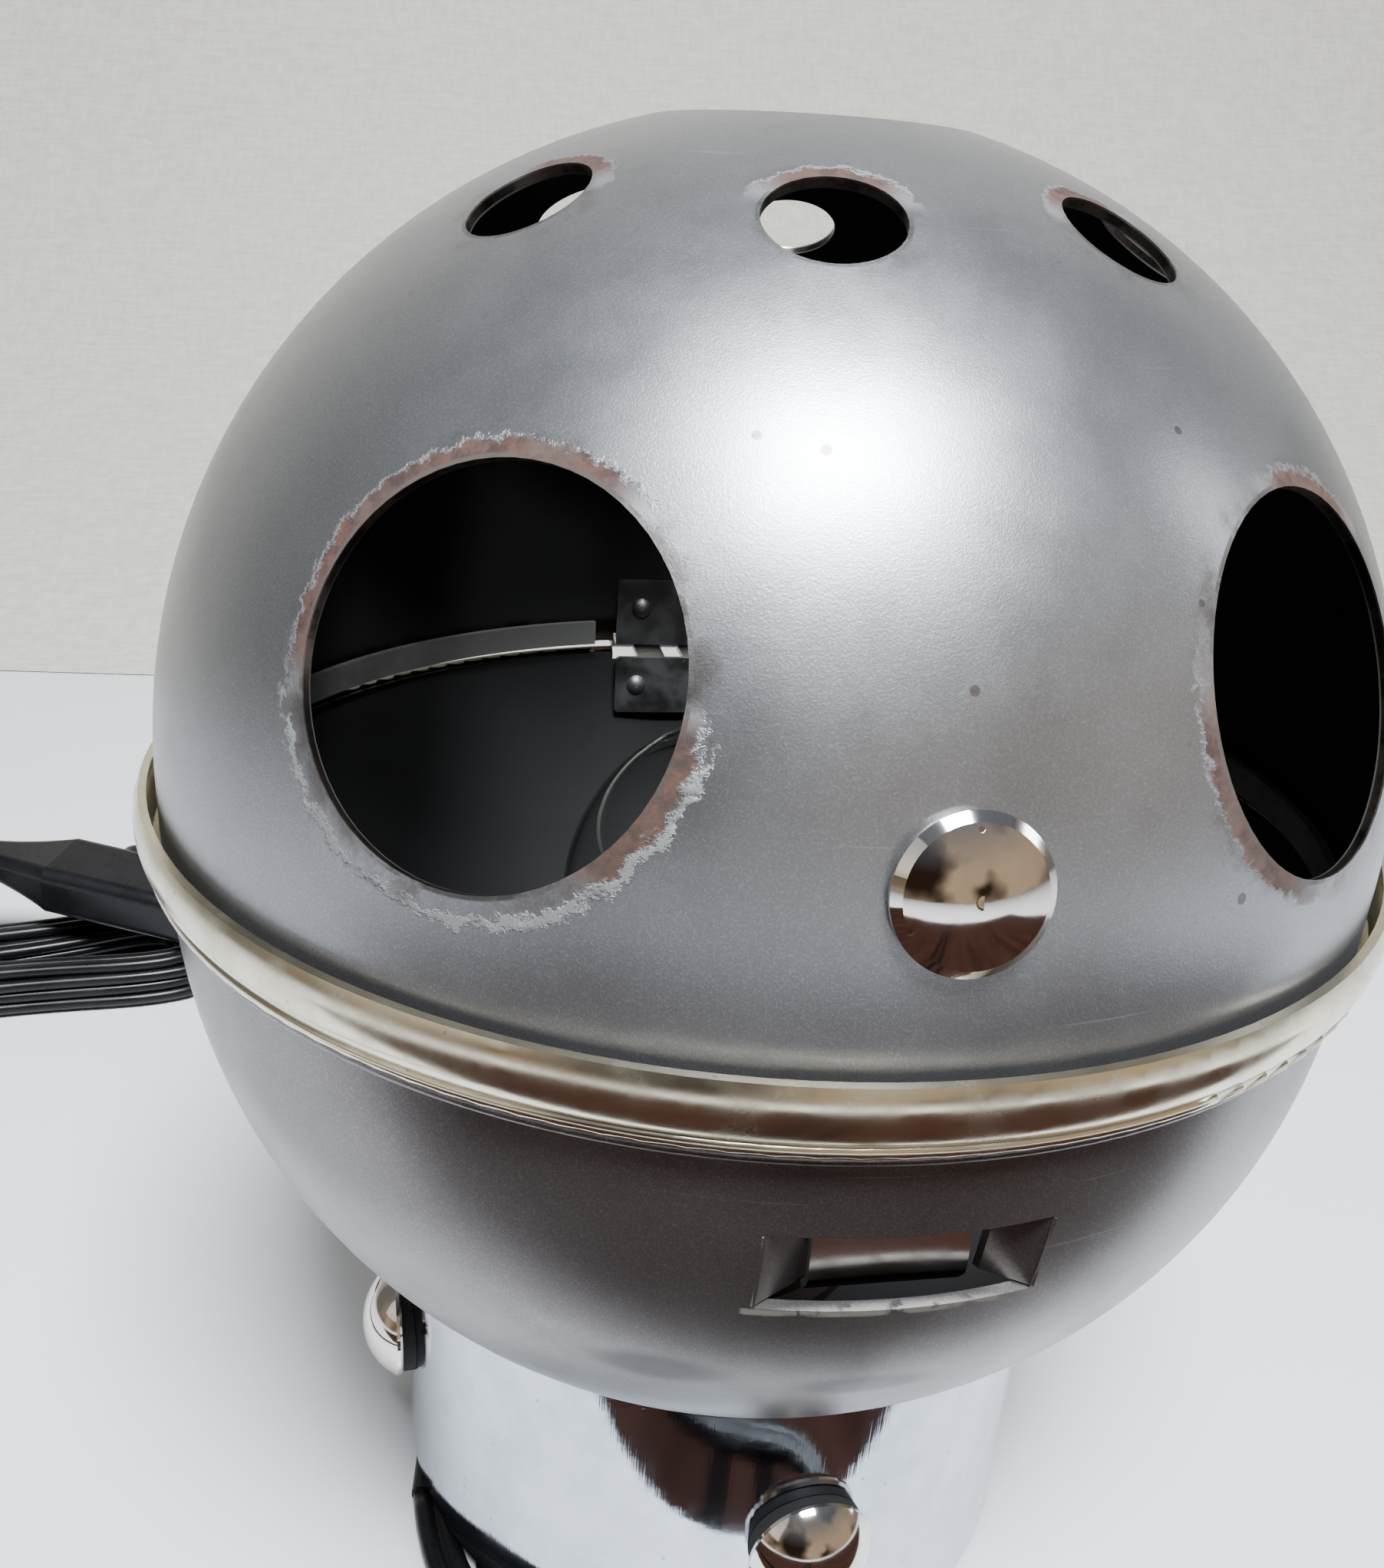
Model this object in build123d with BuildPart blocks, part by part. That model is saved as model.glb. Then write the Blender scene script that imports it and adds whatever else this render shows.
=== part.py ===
"""Hinged metal ball lamp on a chrome drum, with round openings, a chrome knob and a sprung catch slot.

Millimetres, +Z up. The origin is the centre of the foot pad's underside. The knob and the slot face -Y, and
the upper half of the ball opens backwards about a butt hinge at the rear.
"""

import os
from math import asin, cos, pi, radians, sin, tan

from build123d import *

os.makedirs("parts", exist_ok=True)

# ---- driving dimensions -------------------------------------------------------------------------------------
UPPER_R = 66.0  # outside radius of the upper half of the ball
UPPER_Z = 104.2  # height of its centre
LOWER_R = 65.5  # outside radius of the lower half
LOWER_Z = 93.9  # height of its centre
SHEET = 1.0  # thickness of the spun sheet

EYE_R = 15.97  # the two round openings, and the one in the crown
EYE_TURN = 33.8  # degrees to each side of the knob
EYE_LIFT = 21.3  # degrees above the centre of the upper half
EYE_SINK = 14.0  # a cutter reaches this far in: through the sheet, not to the far wall
VENT_R = 5.8
VENT_COUNT = 8
VENT_LIFT = 57.6
VENT_TURN = -10.3  # the first vent, in degrees from the knob
KNOB_LIFT = 11.15
KNOB_R = 6.1

RING_WEB_Z = 96.2  # underside of the trim ring
RING_WEB_T = 0.9
RING_TOP_Z = 102.8
RING_R = 68.4  # widest radius of its half-round band
RING_EDGE_R = 67.75
RING_WALL = 0.8
SKIRT_Z = RING_WEB_Z + RING_WEB_T  # the upper half stands on the ring's web
STRIP_LOW_Z = 96.0  # light strip inside the skirt
STRIP_HIGH_Z = 99.6
STRIP_OUT = 64.1
STRIP_IN = 63.1
STRIP_FRONT = 9.0  # degrees from the knob to its front end
STRIP_REAR = 168.1  # and to its rear end

RIM_Z = 94.7  # centre of the rolled rim of the lower half, at the middle of the ball
RIM_TILT = 0.52  # degrees: the hinge holds the halves a little apart, so the rim is higher in front
RIM_R = 65.75
RIM_ROLL = 0.7

SLOT_LIFT = -9.93
SLOT_HALF_W = 11.8  # pocket of the catch slot, between the roots of its bent cheeks
SLOT_MOUTH = 7.6  # half the clear mouth between the cheeks
SLOT_HALF_H = 4.45
CHEEK_DEPTH = 3.6

HINGE_Y = 70.6
HINGE_Z = 94.6
HINGE_HALF_W = 9.5
BARREL_R = 1.7
PIN_R = 0.8
PIN_GAP = 0.05  # running clearance on the pin, on the radius
LEAF = 0.8
UPPER_LEAF_Y = 63.4  # inner faces of the leaves
LOWER_LEAF_Y = 62.1
UPPER_RIVETS = ((-5.6, 101.5), (5.6, 101.5))
LOWER_RIVETS = ((-6.1, 89.1), (6.1, 89.1))

SPRING_DEPTH = 1.65  # the catch spring's face lies this far inside the outside of the ball
SPRING_T = 0.7
SPRING_HALF_W = 6.9

DRUM_R = 41.5
DRUM_WALL = 1.2
DRUM_LOW_Z = 0.8
DRUM_HIGH_Z = 42.1
BOLT_Z = 23.1
BOLT_TURN = 4.5  # the front dome bolt, in degrees from the knob
BOLT_NAMES = ("front", "right", "rear", "left")
DOME_R = 7.2
DOME_H = 4.9
WASHER_T = 1.2

PAD_R = 33.0
PAD_T = 3.4
PLATE_R = 40.1
PLATE_T = 1.4
SPIDER_Z = 17.0
SPIDER_T = 1.6
PILLAR_AT = 24.0
PILLAR_R = 3.0

HOLDER_R = 13.4
HOLDER_LOW_Z = 21.1
HOLDER_TOP_Z = 49.0
NIPPLE_R = 5.0
NIPPLE_BORE_R = 3.5
BULB_R = 22.5
BULB_Z = 82.7
BULB_SHOULDER = 48  # degrees below the middle of the globe, where the neck begins
BULB_WALL = 0.6
BULB_CAP_R = 6.9
BULB_CAP_LOW_Z = 30.0
BULB_CAP_TOP_Z = 52.0

FLEX_W = 5.0  # flat twin flex
FLEX_T = 2.6
FLEX_LENGTH = 1800.0  # from the drum to the plug
LEAD_R = 1.5  # the round lead inside the drum
PLUG_LEAD_R = 1.9
HANK_AT = (-132.0, 121.0)
HANK_TURN = 9.4
HANK_L = 98.0
HANK_W = 29.0
HANK_Z = 0.6
HANK_H = 10.4
PLUG_AT = (-106.0, 128.0, 20.6)
PLUG_YAW = -17.0
PLUG_PITCH = 7.0
PLUG_ROLL = 6.0
PLUG_PIN_R = 2.4
PLUG_PIN_L = 19.0
PLUG_PIN_GAP = 19.0


def on_ball(turn, lift, radius, centre_z):
    """The plane that touches a ball: turn in degrees from -Y towards +X, lift above the ball's centre."""
    a, b = radians(turn), radians(lift)
    outward = Vector(sin(a) * cos(b), -cos(a) * cos(b), sin(b))
    return Plane(origin=Vector(0, 0, centre_z) + outward * radius, z_dir=outward)


def around(turn, radius, z):
    """An upright plane on a circle about the Z axis, with its normal outwards and its x along the circle."""
    a = radians(turn)
    return Plane(
        origin=(radius * sin(a), -radius * cos(a), z),
        x_dir=(cos(a), sin(a), 0),
        z_dir=(sin(a), -cos(a), 0),
    )


def dome_arc(edge_r, edge_z, top_z):
    """A spherical cap's half profile, from its edge to its top on the axis."""
    rise = top_z - edge_z
    ball_r = (edge_r**2 + rise**2) / (2 * rise)
    half = asin(edge_r / ball_r) / 2
    middle = (ball_r * sin(half), top_z - ball_r * (1 - cos(half)))
    return ThreePointArc((edge_r, edge_z), middle, (0, top_z))


def corner_radii(points):
    """The largest arc that each corner of a route takes: 0.45 of its shorter run over tan(half its turn)."""
    radii = []
    for before, here, after in zip(points, points[1:], points[2:]):
        first = Vector(*here) - Vector(*before)
        second = Vector(*after) - Vector(*here)
        half_turn = radians(first.get_angle(second) / 2)
        radii.append(0.45 * min(first.length, second.length) / tan(half_turn))
    return radii


# ---- lid: the upper half of the ball ------------------------------------------------------------------------
eye_planes = [
    on_ball(-EYE_TURN, EYE_LIFT, UPPER_R, UPPER_Z),
    on_ball(EYE_TURN, EYE_LIFT, UPPER_R, UPPER_Z),
    Plane.XY.offset(UPPER_Z + UPPER_R),
]
vent_planes = [
    on_ball(VENT_TURN + i * 360 / VENT_COUNT, VENT_LIFT, UPPER_R, UPPER_Z) for i in range(VENT_COUNT)
]
knob_plane = on_ball(0, KNOB_LIFT, UPPER_R, UPPER_Z)
UPPER_INNER_R = UPPER_R - SHEET

with BuildPart() as upper_shell:
    with BuildSketch(Plane.XZ):
        with BuildLine():
            CenterArc((0, UPPER_Z), UPPER_R, 0, 90)
            CenterArc((0, UPPER_Z), UPPER_INNER_R, 0, 90)
            Line((0, UPPER_Z + UPPER_INNER_R), (0, UPPER_Z + UPPER_R))
            Polyline(
                (UPPER_R, UPPER_Z),
                (UPPER_R, SKIRT_Z),
                (UPPER_INNER_R, SKIRT_Z),
                (UPPER_INNER_R, UPPER_Z),
            )
        make_face()
    revolve(axis=Axis.Z)
    for plane in eye_planes:
        with BuildSketch(plane.offset(-EYE_SINK)):
            Circle(EYE_R)
        extrude(amount=2 * EYE_SINK, mode=Mode.SUBTRACT)
    for plane in vent_planes:
        with BuildSketch(plane.offset(-5)):
            Circle(VENT_R)
        extrude(amount=8, mode=Mode.SUBTRACT)
    with BuildSketch(knob_plane.offset(-5)):
        Circle(1.6)
    extrude(amount=8, mode=Mode.SUBTRACT)
    with BuildSketch(Plane.XZ.offset(-UPPER_R - 2)):
        with Locations(*UPPER_RIVETS):
            Circle(0.85)
    extrude(amount=12, mode=Mode.SUBTRACT)
upper_shell.part.label = "upper_shell"
export_step(upper_shell.part, "parts/upper_shell.step")

# A web that the skirt stands on, a thin lip at its edge, and a half-round band that rises around the skirt
# with an open groove behind it.
BAND_LOW_Z = RING_WEB_Z + 1.1
BAND_MID_Z = (BAND_LOW_Z + RING_TOP_Z) / 2
with BuildPart() as trim_ring:
    with BuildSketch(Plane.XZ):
        with BuildLine():
            Polyline((64.2, SKIRT_Z), (64.2, RING_WEB_Z), (67.2, RING_WEB_Z))
            ThreePointArc((67.2, RING_WEB_Z), (67.55, RING_WEB_Z + 0.55), (67.3, BAND_LOW_Z))
            ThreePointArc((67.3, BAND_LOW_Z), (RING_R, BAND_MID_Z), (RING_EDGE_R, RING_TOP_Z))
            Line((RING_EDGE_R, RING_TOP_Z), (RING_EDGE_R - RING_WALL, RING_TOP_Z))
            ThreePointArc(
                (RING_EDGE_R - RING_WALL, RING_TOP_Z),
                (RING_R - RING_WALL, BAND_MID_Z),
                (66.9, SKIRT_Z),
            )
            Line((66.9, SKIRT_Z), (64.2, SKIRT_Z))
        make_face()
    revolve(axis=Axis.Z)
    with BuildSketch(Plane.XZ.offset(-60)):
        with Locations((0, SKIRT_Z - 1.3)):
            Rectangle(2 * HINGE_HALF_W + 0.8, 2.6)
    extrude(amount=-12, mode=Mode.SUBTRACT)
trim_ring.part.label = "trim_ring"
export_step(trim_ring.part, "parts/trim_ring.step")

# The light strip inside the skirt stops short of the catch in front and of the hinge behind.
for name, turn in (("rim_strip_right", STRIP_FRONT), ("rim_strip_left", -STRIP_REAR)):
    first_end = around(turn, 0, 0)
    with BuildPart() as rim_strip:
        with BuildSketch(Plane(first_end.origin, x_dir=first_end.z_dir, z_dir=first_end.x_dir * -1)):
            with Locations(((STRIP_OUT + STRIP_IN) / 2, (STRIP_LOW_Z + STRIP_HIGH_Z) / 2)):
                Rectangle(STRIP_OUT - STRIP_IN, STRIP_HIGH_Z - STRIP_LOW_Z)
        revolve(axis=Axis.Z, revolution_arc=STRIP_REAR - STRIP_FRONT)
    rim_strip.part.label = name
    export_step(rim_strip.part, f"parts/{name}.step")

# Knob: a flat rim with a bevel round a low dome, on a threaded stud.
with BuildPart() as knob:
    with BuildSketch(Plane(knob_plane.origin, x_dir=knob_plane.x_dir, z_dir=knob_plane.y_dir * -1)):
        with BuildLine():
            Polyline((0, -5.6), (1.45, -5.6), (1.45, 0.05), (5.6, 0.05), (KNOB_R, 0.35), (KNOB_R, 0.75))
            Line((KNOB_R, 0.75), (5.35, 1.35))
            dome_arc(5.35, 1.35, 2.6)
            Line((0, 2.6), (0, -5.6))
        make_face()
    revolve(axis=Axis(knob_plane.origin, knob_plane.z_dir))
knob.part.label = "knob"
export_step(knob.part, "parts/knob.step")

with BuildPart() as knob_nut:
    with BuildSketch(knob_plane.offset(-SPRING_DEPTH - SPRING_T - 2.4)):
        RegularPolygon(3.2, 6)
        Circle(1.5, mode=Mode.SUBTRACT)
    extrude(amount=2.35)
knob_nut.part.label = "knob_nut"
export_step(knob_nut.part, "parts/knob_nut.step")

# Catch spring: hangs from the knob's stud inside the ball. Its tongue stands behind the slot and ends in an
# inward lead-in lip.
spring_hub = knob_plane.origin - knob_plane.z_dir * (SPRING_DEPTH + SPRING_T / 2)
spring_up = Vector(0, sin(radians(KNOB_LIFT)), cos(radians(KNOB_LIFT)))
spring_top = spring_hub + spring_up * 5.5
spring_bend = spring_hub - spring_up * 5.5
with BuildPart() as catch_spring:
    with BuildSketch(Plane.YZ.offset(-SPRING_HALF_W)):
        with BuildLine():
            FilletPolyline(
                (spring_top.Y, spring_top.Z),
                (spring_bend.Y, spring_bend.Z),
                (-63.3, 103.0),
                (-61.9, 92.0),
                (-60.3, 85.5),
                (-60.2, 78.7),
                (-59.0, 77.2),
                radius=1.2,
            )
        trace(line_width=SPRING_T)
    extrude(amount=2 * SPRING_HALF_W)
    with BuildSketch(knob_plane.offset(-6)):
        Circle(1.55)
    extrude(amount=6, mode=Mode.SUBTRACT)
catch_spring.part.label = "catch_spring"
export_step(catch_spring.part, "parts/catch_spring.step")

# ---- hinge --------------------------------------------------------------------------------------------------
UPPER_KNUCKLES = ((-9.5, -6.1), (-1.3, 1.3), (6.1, 9.5))
LOWER_KNUCKLES = ((-5.9, -1.5), (1.5, 5.9))
BORE_R = PIN_R + PIN_GAP


def hinge_leaf(name, leaf_y, web_z, leaf_low_z, leaf_high_z, knuckles, rivet_spots):
    """One leaf: a plate inside the ball, and a web out to each of its knuckles on the pin."""
    with BuildPart() as leaf:
        with BuildSketch(Plane.XZ.offset(-leaf_y - LEAF)):
            with Locations((0, (leaf_low_z + leaf_high_z) / 2)):
                RectangleRounded(2 * HINGE_HALF_W, leaf_high_z - leaf_low_z, 0.6)
            with Locations(*rivet_spots):
                Circle(0.85, mode=Mode.SUBTRACT)
        extrude(amount=LEAF)
        for low_x, high_x in knuckles:
            with BuildSketch(Plane.YZ.offset(low_x)):
                with Locations(((leaf_y + HINGE_Y) / 2, web_z)):
                    Rectangle(HINGE_Y - leaf_y, LEAF)
                with Locations((HINGE_Y, HINGE_Z)):
                    Circle(BARREL_R)
                    Circle(BORE_R, mode=Mode.SUBTRACT)
            extrude(amount=high_x - low_x)
    leaf.part.label = name
    return leaf.part


UPPER_WEB_Z = HINGE_Z + BARREL_R - LEAF / 2
LOWER_WEB_Z = HINGE_Z - BARREL_R + LEAF / 2
hinge_leaf_upper = hinge_leaf(
    "hinge_leaf_upper", UPPER_LEAF_Y, UPPER_WEB_Z, 95.5, 106.0, UPPER_KNUCKLES, UPPER_RIVETS
)
export_step(hinge_leaf_upper, "parts/hinge_leaf_upper.step")
hinge_leaf_lower = hinge_leaf(
    "hinge_leaf_lower", LOWER_LEAF_Y, LOWER_WEB_Z, 84.4, 93.7, LOWER_KNUCKLES, LOWER_RIVETS
)
export_step(hinge_leaf_lower, "parts/hinge_leaf_lower.step")

with BuildPart() as hinge_pin:
    with BuildSketch(Plane.YZ.offset(-HINGE_HALF_W - 0.4)):
        with Locations((HINGE_Y, HINGE_Z)):
            Circle(PIN_R)
    extrude(amount=2 * HINGE_HALF_W + 0.8)
    chamfer(hinge_pin.edges().filter_by(GeomType.CIRCLE), 0.2)
hinge_pin.part.label = "hinge_pin"
export_step(hinge_pin.part, "parts/hinge_pin.step")


def dome_rivets(name, spots, inner_y, outer_y):
    """Dome-headed rivets along Y: the heads stand on the leaf's inner face and on the outside of the ball."""
    with BuildPart() as heads:
        for x, z in spots:
            with BuildSketch(Plane((x, 0, z))):
                with BuildLine():
                    Line((0, inner_y - 0.9), (0, outer_y + 0.75))
                    dome_arc(1.6, outer_y, outer_y + 0.75)
                    Polyline((1.6, outer_y), (0.8, outer_y), (0.8, inner_y), (1.6, inner_y))
                    dome_arc(1.6, inner_y, inner_y - 0.9)
                make_face()
            revolve(axis=Axis((x, 0, z), (0, 1, 0)))
    heads.part.label = name
    return heads.part


hinge_rivets_upper = dome_rivets("hinge_rivets_upper", UPPER_RIVETS, UPPER_LEAF_Y, 65.93)
export_step(hinge_rivets_upper, "parts/hinge_rivets_upper.step")
hinge_rivets_lower = dome_rivets("hinge_rivets_lower", LOWER_RIVETS, LOWER_LEAF_Y, 65.32)
export_step(hinge_rivets_lower, "parts/hinge_rivets_lower.step")

# ---- the lower half of the ball -----------------------------------------------------------------------------
LOWER_INNER_R = LOWER_R - SHEET
rim_plane = Plane((0, 0, RIM_Z)).rotated((-RIM_TILT, 0, 0))
slot_plane = on_ball(0, SLOT_LIFT, LOWER_R, LOWER_Z)
slot_across = Plane(slot_plane.origin, x_dir=(1, 0, 0), z_dir=slot_plane.z_dir)
slot_up = (0, sin(radians(SLOT_LIFT)), cos(radians(SLOT_LIFT)))
cheek_plane = Plane(slot_plane.origin, x_dir=(1, 0, 0), z_dir=slot_up)
CHEEK_OUT = (SLOT_HALF_W + 0.3, 1.15)  # across, and inwards from the slot's middle
CHEEK_IN = (SLOT_MOUTH, CHEEK_DEPTH)

with BuildPart() as lower_shell:
    with BuildSketch(Plane.XZ):
        with BuildLine():
            CenterArc((0, LOWER_Z), LOWER_R, 0, -90)
            CenterArc((0, LOWER_Z), LOWER_INNER_R, 0, -90)
            Line((0, LOWER_Z - LOWER_R), (0, LOWER_Z - LOWER_INNER_R))
            Polyline(
                (LOWER_R, LOWER_Z),
                (LOWER_R, RIM_Z + 2),
                (LOWER_INNER_R, RIM_Z + 2),
                (LOWER_INNER_R, LOWER_Z),
            )
        make_face()
    revolve(axis=Axis.Z)
    split(bisect_by=rim_plane, keep=Keep.BOTTOM)
    with BuildSketch(Plane(rim_plane.origin, x_dir=rim_plane.x_dir, z_dir=rim_plane.y_dir * -1)):
        with Locations((RIM_R, 0)):
            Circle(RIM_ROLL)
    revolve(axis=Axis(rim_plane.origin, rim_plane.z_dir))
    with BuildSketch(Plane.XY.offset(LOWER_Z - LOWER_R - 1)):
        Circle(HOLDER_R + 0.4)
    extrude(amount=12, mode=Mode.SUBTRACT)
    with BuildSketch(Plane.XZ.offset(-60)):
        with Locations((0, HINGE_Z + 1)):
            Rectangle(2 * HINGE_HALF_W + 0.8, 2 * (HINGE_Z + 1 - 92.7))
    extrude(amount=-12, mode=Mode.SUBTRACT)
    with BuildSketch(slot_across.offset(-6)):
        Rectangle(2 * SLOT_HALF_W, 2 * SLOT_HALF_H)
    extrude(amount=8, mode=Mode.SUBTRACT)
    for side in (-1, 1):
        with BuildSketch(cheek_plane.offset(-SLOT_HALF_H + 0.25)):
            with BuildLine():
                Polyline(
                    (side * CHEEK_OUT[0], CHEEK_OUT[1]),
                    (side * (CHEEK_IN[0] + 0.35), CHEEK_IN[1] - 0.35),
                    (side * CHEEK_IN[0], CHEEK_IN[1] + 0.2),
                    (side * (CHEEK_IN[0] + 0.35), CHEEK_IN[1] + 0.75),
                    (side * (CHEEK_OUT[0] + 0.3), CHEEK_OUT[1] + 0.85),
                    close=True,
                )
            make_face()
        extrude(amount=2 * SLOT_HALF_H - 0.5)
    with BuildSketch(Plane.XZ.offset(-UPPER_R - 2)):
        with Locations(*LOWER_RIVETS):
            Circle(0.85)
    extrude(amount=12, mode=Mode.SUBTRACT)
lower_shell.part.label = "lower_shell"
export_step(lower_shell.part, "parts/lower_shell.step")
print("ball done")

# ---- drum ---------------------------------------------------------------------------------------------------
bolt_turns = {name: BOLT_TURN + 90 * i for i, name in enumerate(BOLT_NAMES)}

with BuildPart() as base_drum:
    with BuildSketch(Plane.XY.offset(DRUM_LOW_Z)):
        Circle(DRUM_R)
        Circle(DRUM_R - DRUM_WALL, mode=Mode.SUBTRACT)
    extrude(amount=DRUM_HIGH_Z - DRUM_LOW_Z)
    for turn in bolt_turns.values():
        with BuildSketch(around(turn, DRUM_R - 4, BOLT_Z)):
            Circle(2.15)
        extrude(amount=8, mode=Mode.SUBTRACT)
    with BuildSketch(Plane.XY.offset(DRUM_LOW_Z - 1)):
        with Locations((-38, -8.5)):
            Rectangle(16, 33)
    extrude(amount=3.8, mode=Mode.SUBTRACT)
base_drum.part.label = "base_drum"
export_step(base_drum.part, "parts/base_drum.step")

WASHER_IN = DRUM_R + 0.05  # the washers are dished to the drum
for name, turn in bolt_turns.items():
    bolt_plane = around(turn, 0, BOLT_Z)
    with BuildPart() as dome_washer:
        with BuildSketch(bolt_plane.offset(DRUM_R - 3)):
            Circle(DOME_R - 0.5)
            Circle(2.1, mode=Mode.SUBTRACT)
        extrude(amount=3 + WASHER_T)
        with BuildSketch(Plane.XY.offset(BOLT_Z - 10)):
            Circle(WASHER_IN)
        extrude(amount=20, mode=Mode.SUBTRACT)
    dome_washer.part.label = f"dome_washer_{name}"
    export_step(dome_washer.part, f"parts/dome_washer_{name}.step")

    dome_plane = around(turn, DRUM_R + WASHER_T, BOLT_Z)
    with BuildPart() as dome_bolt:
        with BuildSketch(Plane(dome_plane.origin, x_dir=dome_plane.x_dir, z_dir=dome_plane.y_dir * -1)):
            with BuildLine():
                Polyline((0, -9.2), (1.95, -9.2), (1.95, 0.02), (DOME_R - 0.3, 0.02), (DOME_R, 0.3))
                Line((DOME_R, 0.3), (DOME_R, 0.7))
                dome_arc(DOME_R, 0.7, DOME_H)
                Line((0, DOME_H), (0, -9.2))
            make_face()
        revolve(axis=Axis(dome_plane.origin, dome_plane.z_dir))
    dome_bolt.part.label = f"dome_bolt_{name}"
    export_step(dome_bolt.part, f"parts/dome_bolt_{name}.step")

    with BuildPart() as dome_nut:
        with BuildSketch(bolt_plane.offset(38.55 - 3.2)):
            RegularPolygon(4.0, 6)
            Circle(2.0, mode=Mode.SUBTRACT)
        extrude(amount=3.2)
    dome_nut.part.label = f"dome_nut_{name}"
    export_step(dome_nut.part, f"parts/dome_nut_{name}.step")

TAB_OUT = DRUM_R - DRUM_WALL - 0.1
with BuildPart() as spider_bracket:
    with BuildSketch(Plane.XY.offset(SPIDER_Z)):
        Circle(12)
        for turn in bolt_turns.values():
            with Locations(around(turn, TAB_OUT / 2, 0).origin):
                Rectangle(10, TAB_OUT, rotation=turn)
        Circle(NIPPLE_R + 0.05, mode=Mode.SUBTRACT)
        for turn in bolt_turns.values():
            with Locations(around(turn, PILLAR_AT, 0).origin):
                Circle(1.6, mode=Mode.SUBTRACT)
    extrude(amount=SPIDER_T)
    for turn in bolt_turns.values():
        with BuildSketch(around(turn, TAB_OUT - SPIDER_T, SPIDER_Z + 6)):
            Rectangle(10, 12)
            with Locations((0, BOLT_Z - SPIDER_Z - 6)):
                Circle(2.1, mode=Mode.SUBTRACT)
        extrude(amount=SPIDER_T)
    with BuildSketch(Plane.XY.offset(SPIDER_Z - 1)):
        Circle(DRUM_R + 8)
        Circle(TAB_OUT, mode=Mode.SUBTRACT)
    extrude(amount=20, mode=Mode.SUBTRACT)
spider_bracket.part.label = "spider_bracket"
export_step(spider_bracket.part, "parts/spider_bracket.step")

for name, turn in bolt_turns.items():
    with BuildPart() as pillar:
        with BuildSketch(Plane(around(turn, PILLAR_AT, PAD_T + PLATE_T).origin)):
            Circle(PILLAR_R)
            Circle(1.5, mode=Mode.SUBTRACT)
        extrude(amount=SPIDER_Z - PAD_T - PLATE_T)
    pillar.part.label = f"pillar_{name}"
    export_step(pillar.part, f"parts/pillar_{name}.step")

with BuildPart() as bracket_screws:
    for turn in bolt_turns.values():
        at = around(turn, PILLAR_AT, SPIDER_Z + SPIDER_T).origin
        with BuildSketch(Plane(at)):
            Circle(2.8)
        extrude(amount=1.8)
        with BuildSketch(Plane(at)):
            Circle(1.45)
        extrude(amount=-6)
bracket_screws.part.label = "bracket_screws"
export_step(bracket_screws.part, "parts/bracket_screws.step")

with BuildPart() as plate_screws:
    for turn in bolt_turns.values():
        at = around(turn, PILLAR_AT, PAD_T).origin
        with BuildSketch(Plane(at)):
            Circle(2.8)
        extrude(amount=-1.8)
        with BuildSketch(Plane(at)):
            Circle(1.45)
        extrude(amount=6)
plate_screws.part.label = "plate_screws"
export_step(plate_screws.part, "parts/plate_screws.step")

LEAD_NOTCH = (-35.2, 16.2)
with BuildPart() as base_plate:
    with BuildSketch(Plane.XY.offset(PAD_T)):
        Circle(PLATE_R)
        for turn in bolt_turns.values():
            with Locations(around(turn, PILLAR_AT, 0).origin):
                Circle(1.5, mode=Mode.SUBTRACT)
        with Locations(LEAD_NOTCH):
            Circle(4.6, mode=Mode.SUBTRACT)
    extrude(amount=PLATE_T)
base_plate.part.label = "base_plate"
export_step(base_plate.part, "parts/base_plate.step")

with BuildPart() as foot_pad:
    with BuildSketch(Plane.XY):
        Circle(PAD_R)
        for turn in bolt_turns.values():
            with Locations(around(turn, PILLAR_AT, 0).origin):
                Circle(3.4, mode=Mode.SUBTRACT)
    extrude(amount=PAD_T)
foot_pad.part.label = "foot_pad"
export_step(foot_pad.part, "parts/foot_pad.step")

# ---- lampholder and bulb ------------------------------------------------------------------------------------
with BuildPart() as nipple:
    with BuildSketch(Plane.XY.offset(12.5)):
        Circle(NIPPLE_R)
        Circle(NIPPLE_BORE_R, mode=Mode.SUBTRACT)
    extrude(amount=10.5)
nipple.part.label = "nipple"
export_step(nipple.part, "parts/nipple.step")

for name, low_z, height in (("nipple_nut_lower", 14.0, 2.95), ("nipple_nut_upper", 18.65, 2.35)):
    with BuildPart() as nipple_nut:
        with BuildSketch(Plane.XY.offset(low_z)):
            RegularPolygon(8.0, 6)
            Circle(NIPPLE_R + 0.03, mode=Mode.SUBTRACT)
        extrude(amount=height)
    nipple_nut.part.label = name
    export_step(nipple_nut.part, f"parts/{name}.step")

with BuildPart() as lampholder:
    with BuildSketch(Plane.XZ):
        with BuildLine():
            Polyline(
                (NIPPLE_R + 0.03, 21.1),
                (8.5, 21.1),
                (8.5, 23.5),
                (HOLDER_R, 26.0),
                (HOLDER_R, 28.2),
                (17.0, 28.2),
                (17.0, 29.7),
                (HOLDER_R, 29.7),
                (HOLDER_R, HOLDER_TOP_Z),
                (8.1, HOLDER_TOP_Z),
                (8.1, 27.6),
                (4.0, 27.6),
                (4.0, 26.2),
                (7.0, 26.2),
                (7.0, 23.2),
                (NIPPLE_R + 0.03, 23.2),
                close=True,
            )
        make_face()
    revolve(axis=Axis.Z)
lampholder.part.label = "lampholder"
export_step(lampholder.part, "parts/lampholder.step")

with BuildPart() as holder_liner:
    with BuildSketch(Plane.XY.offset(27.7)):
        Circle(8.05)
        Circle(7.25, mode=Mode.SUBTRACT)
    extrude(amount=20.6)
holder_liner.part.label = "holder_liner"
export_step(holder_liner.part, "parts/holder_liner.step")

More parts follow.
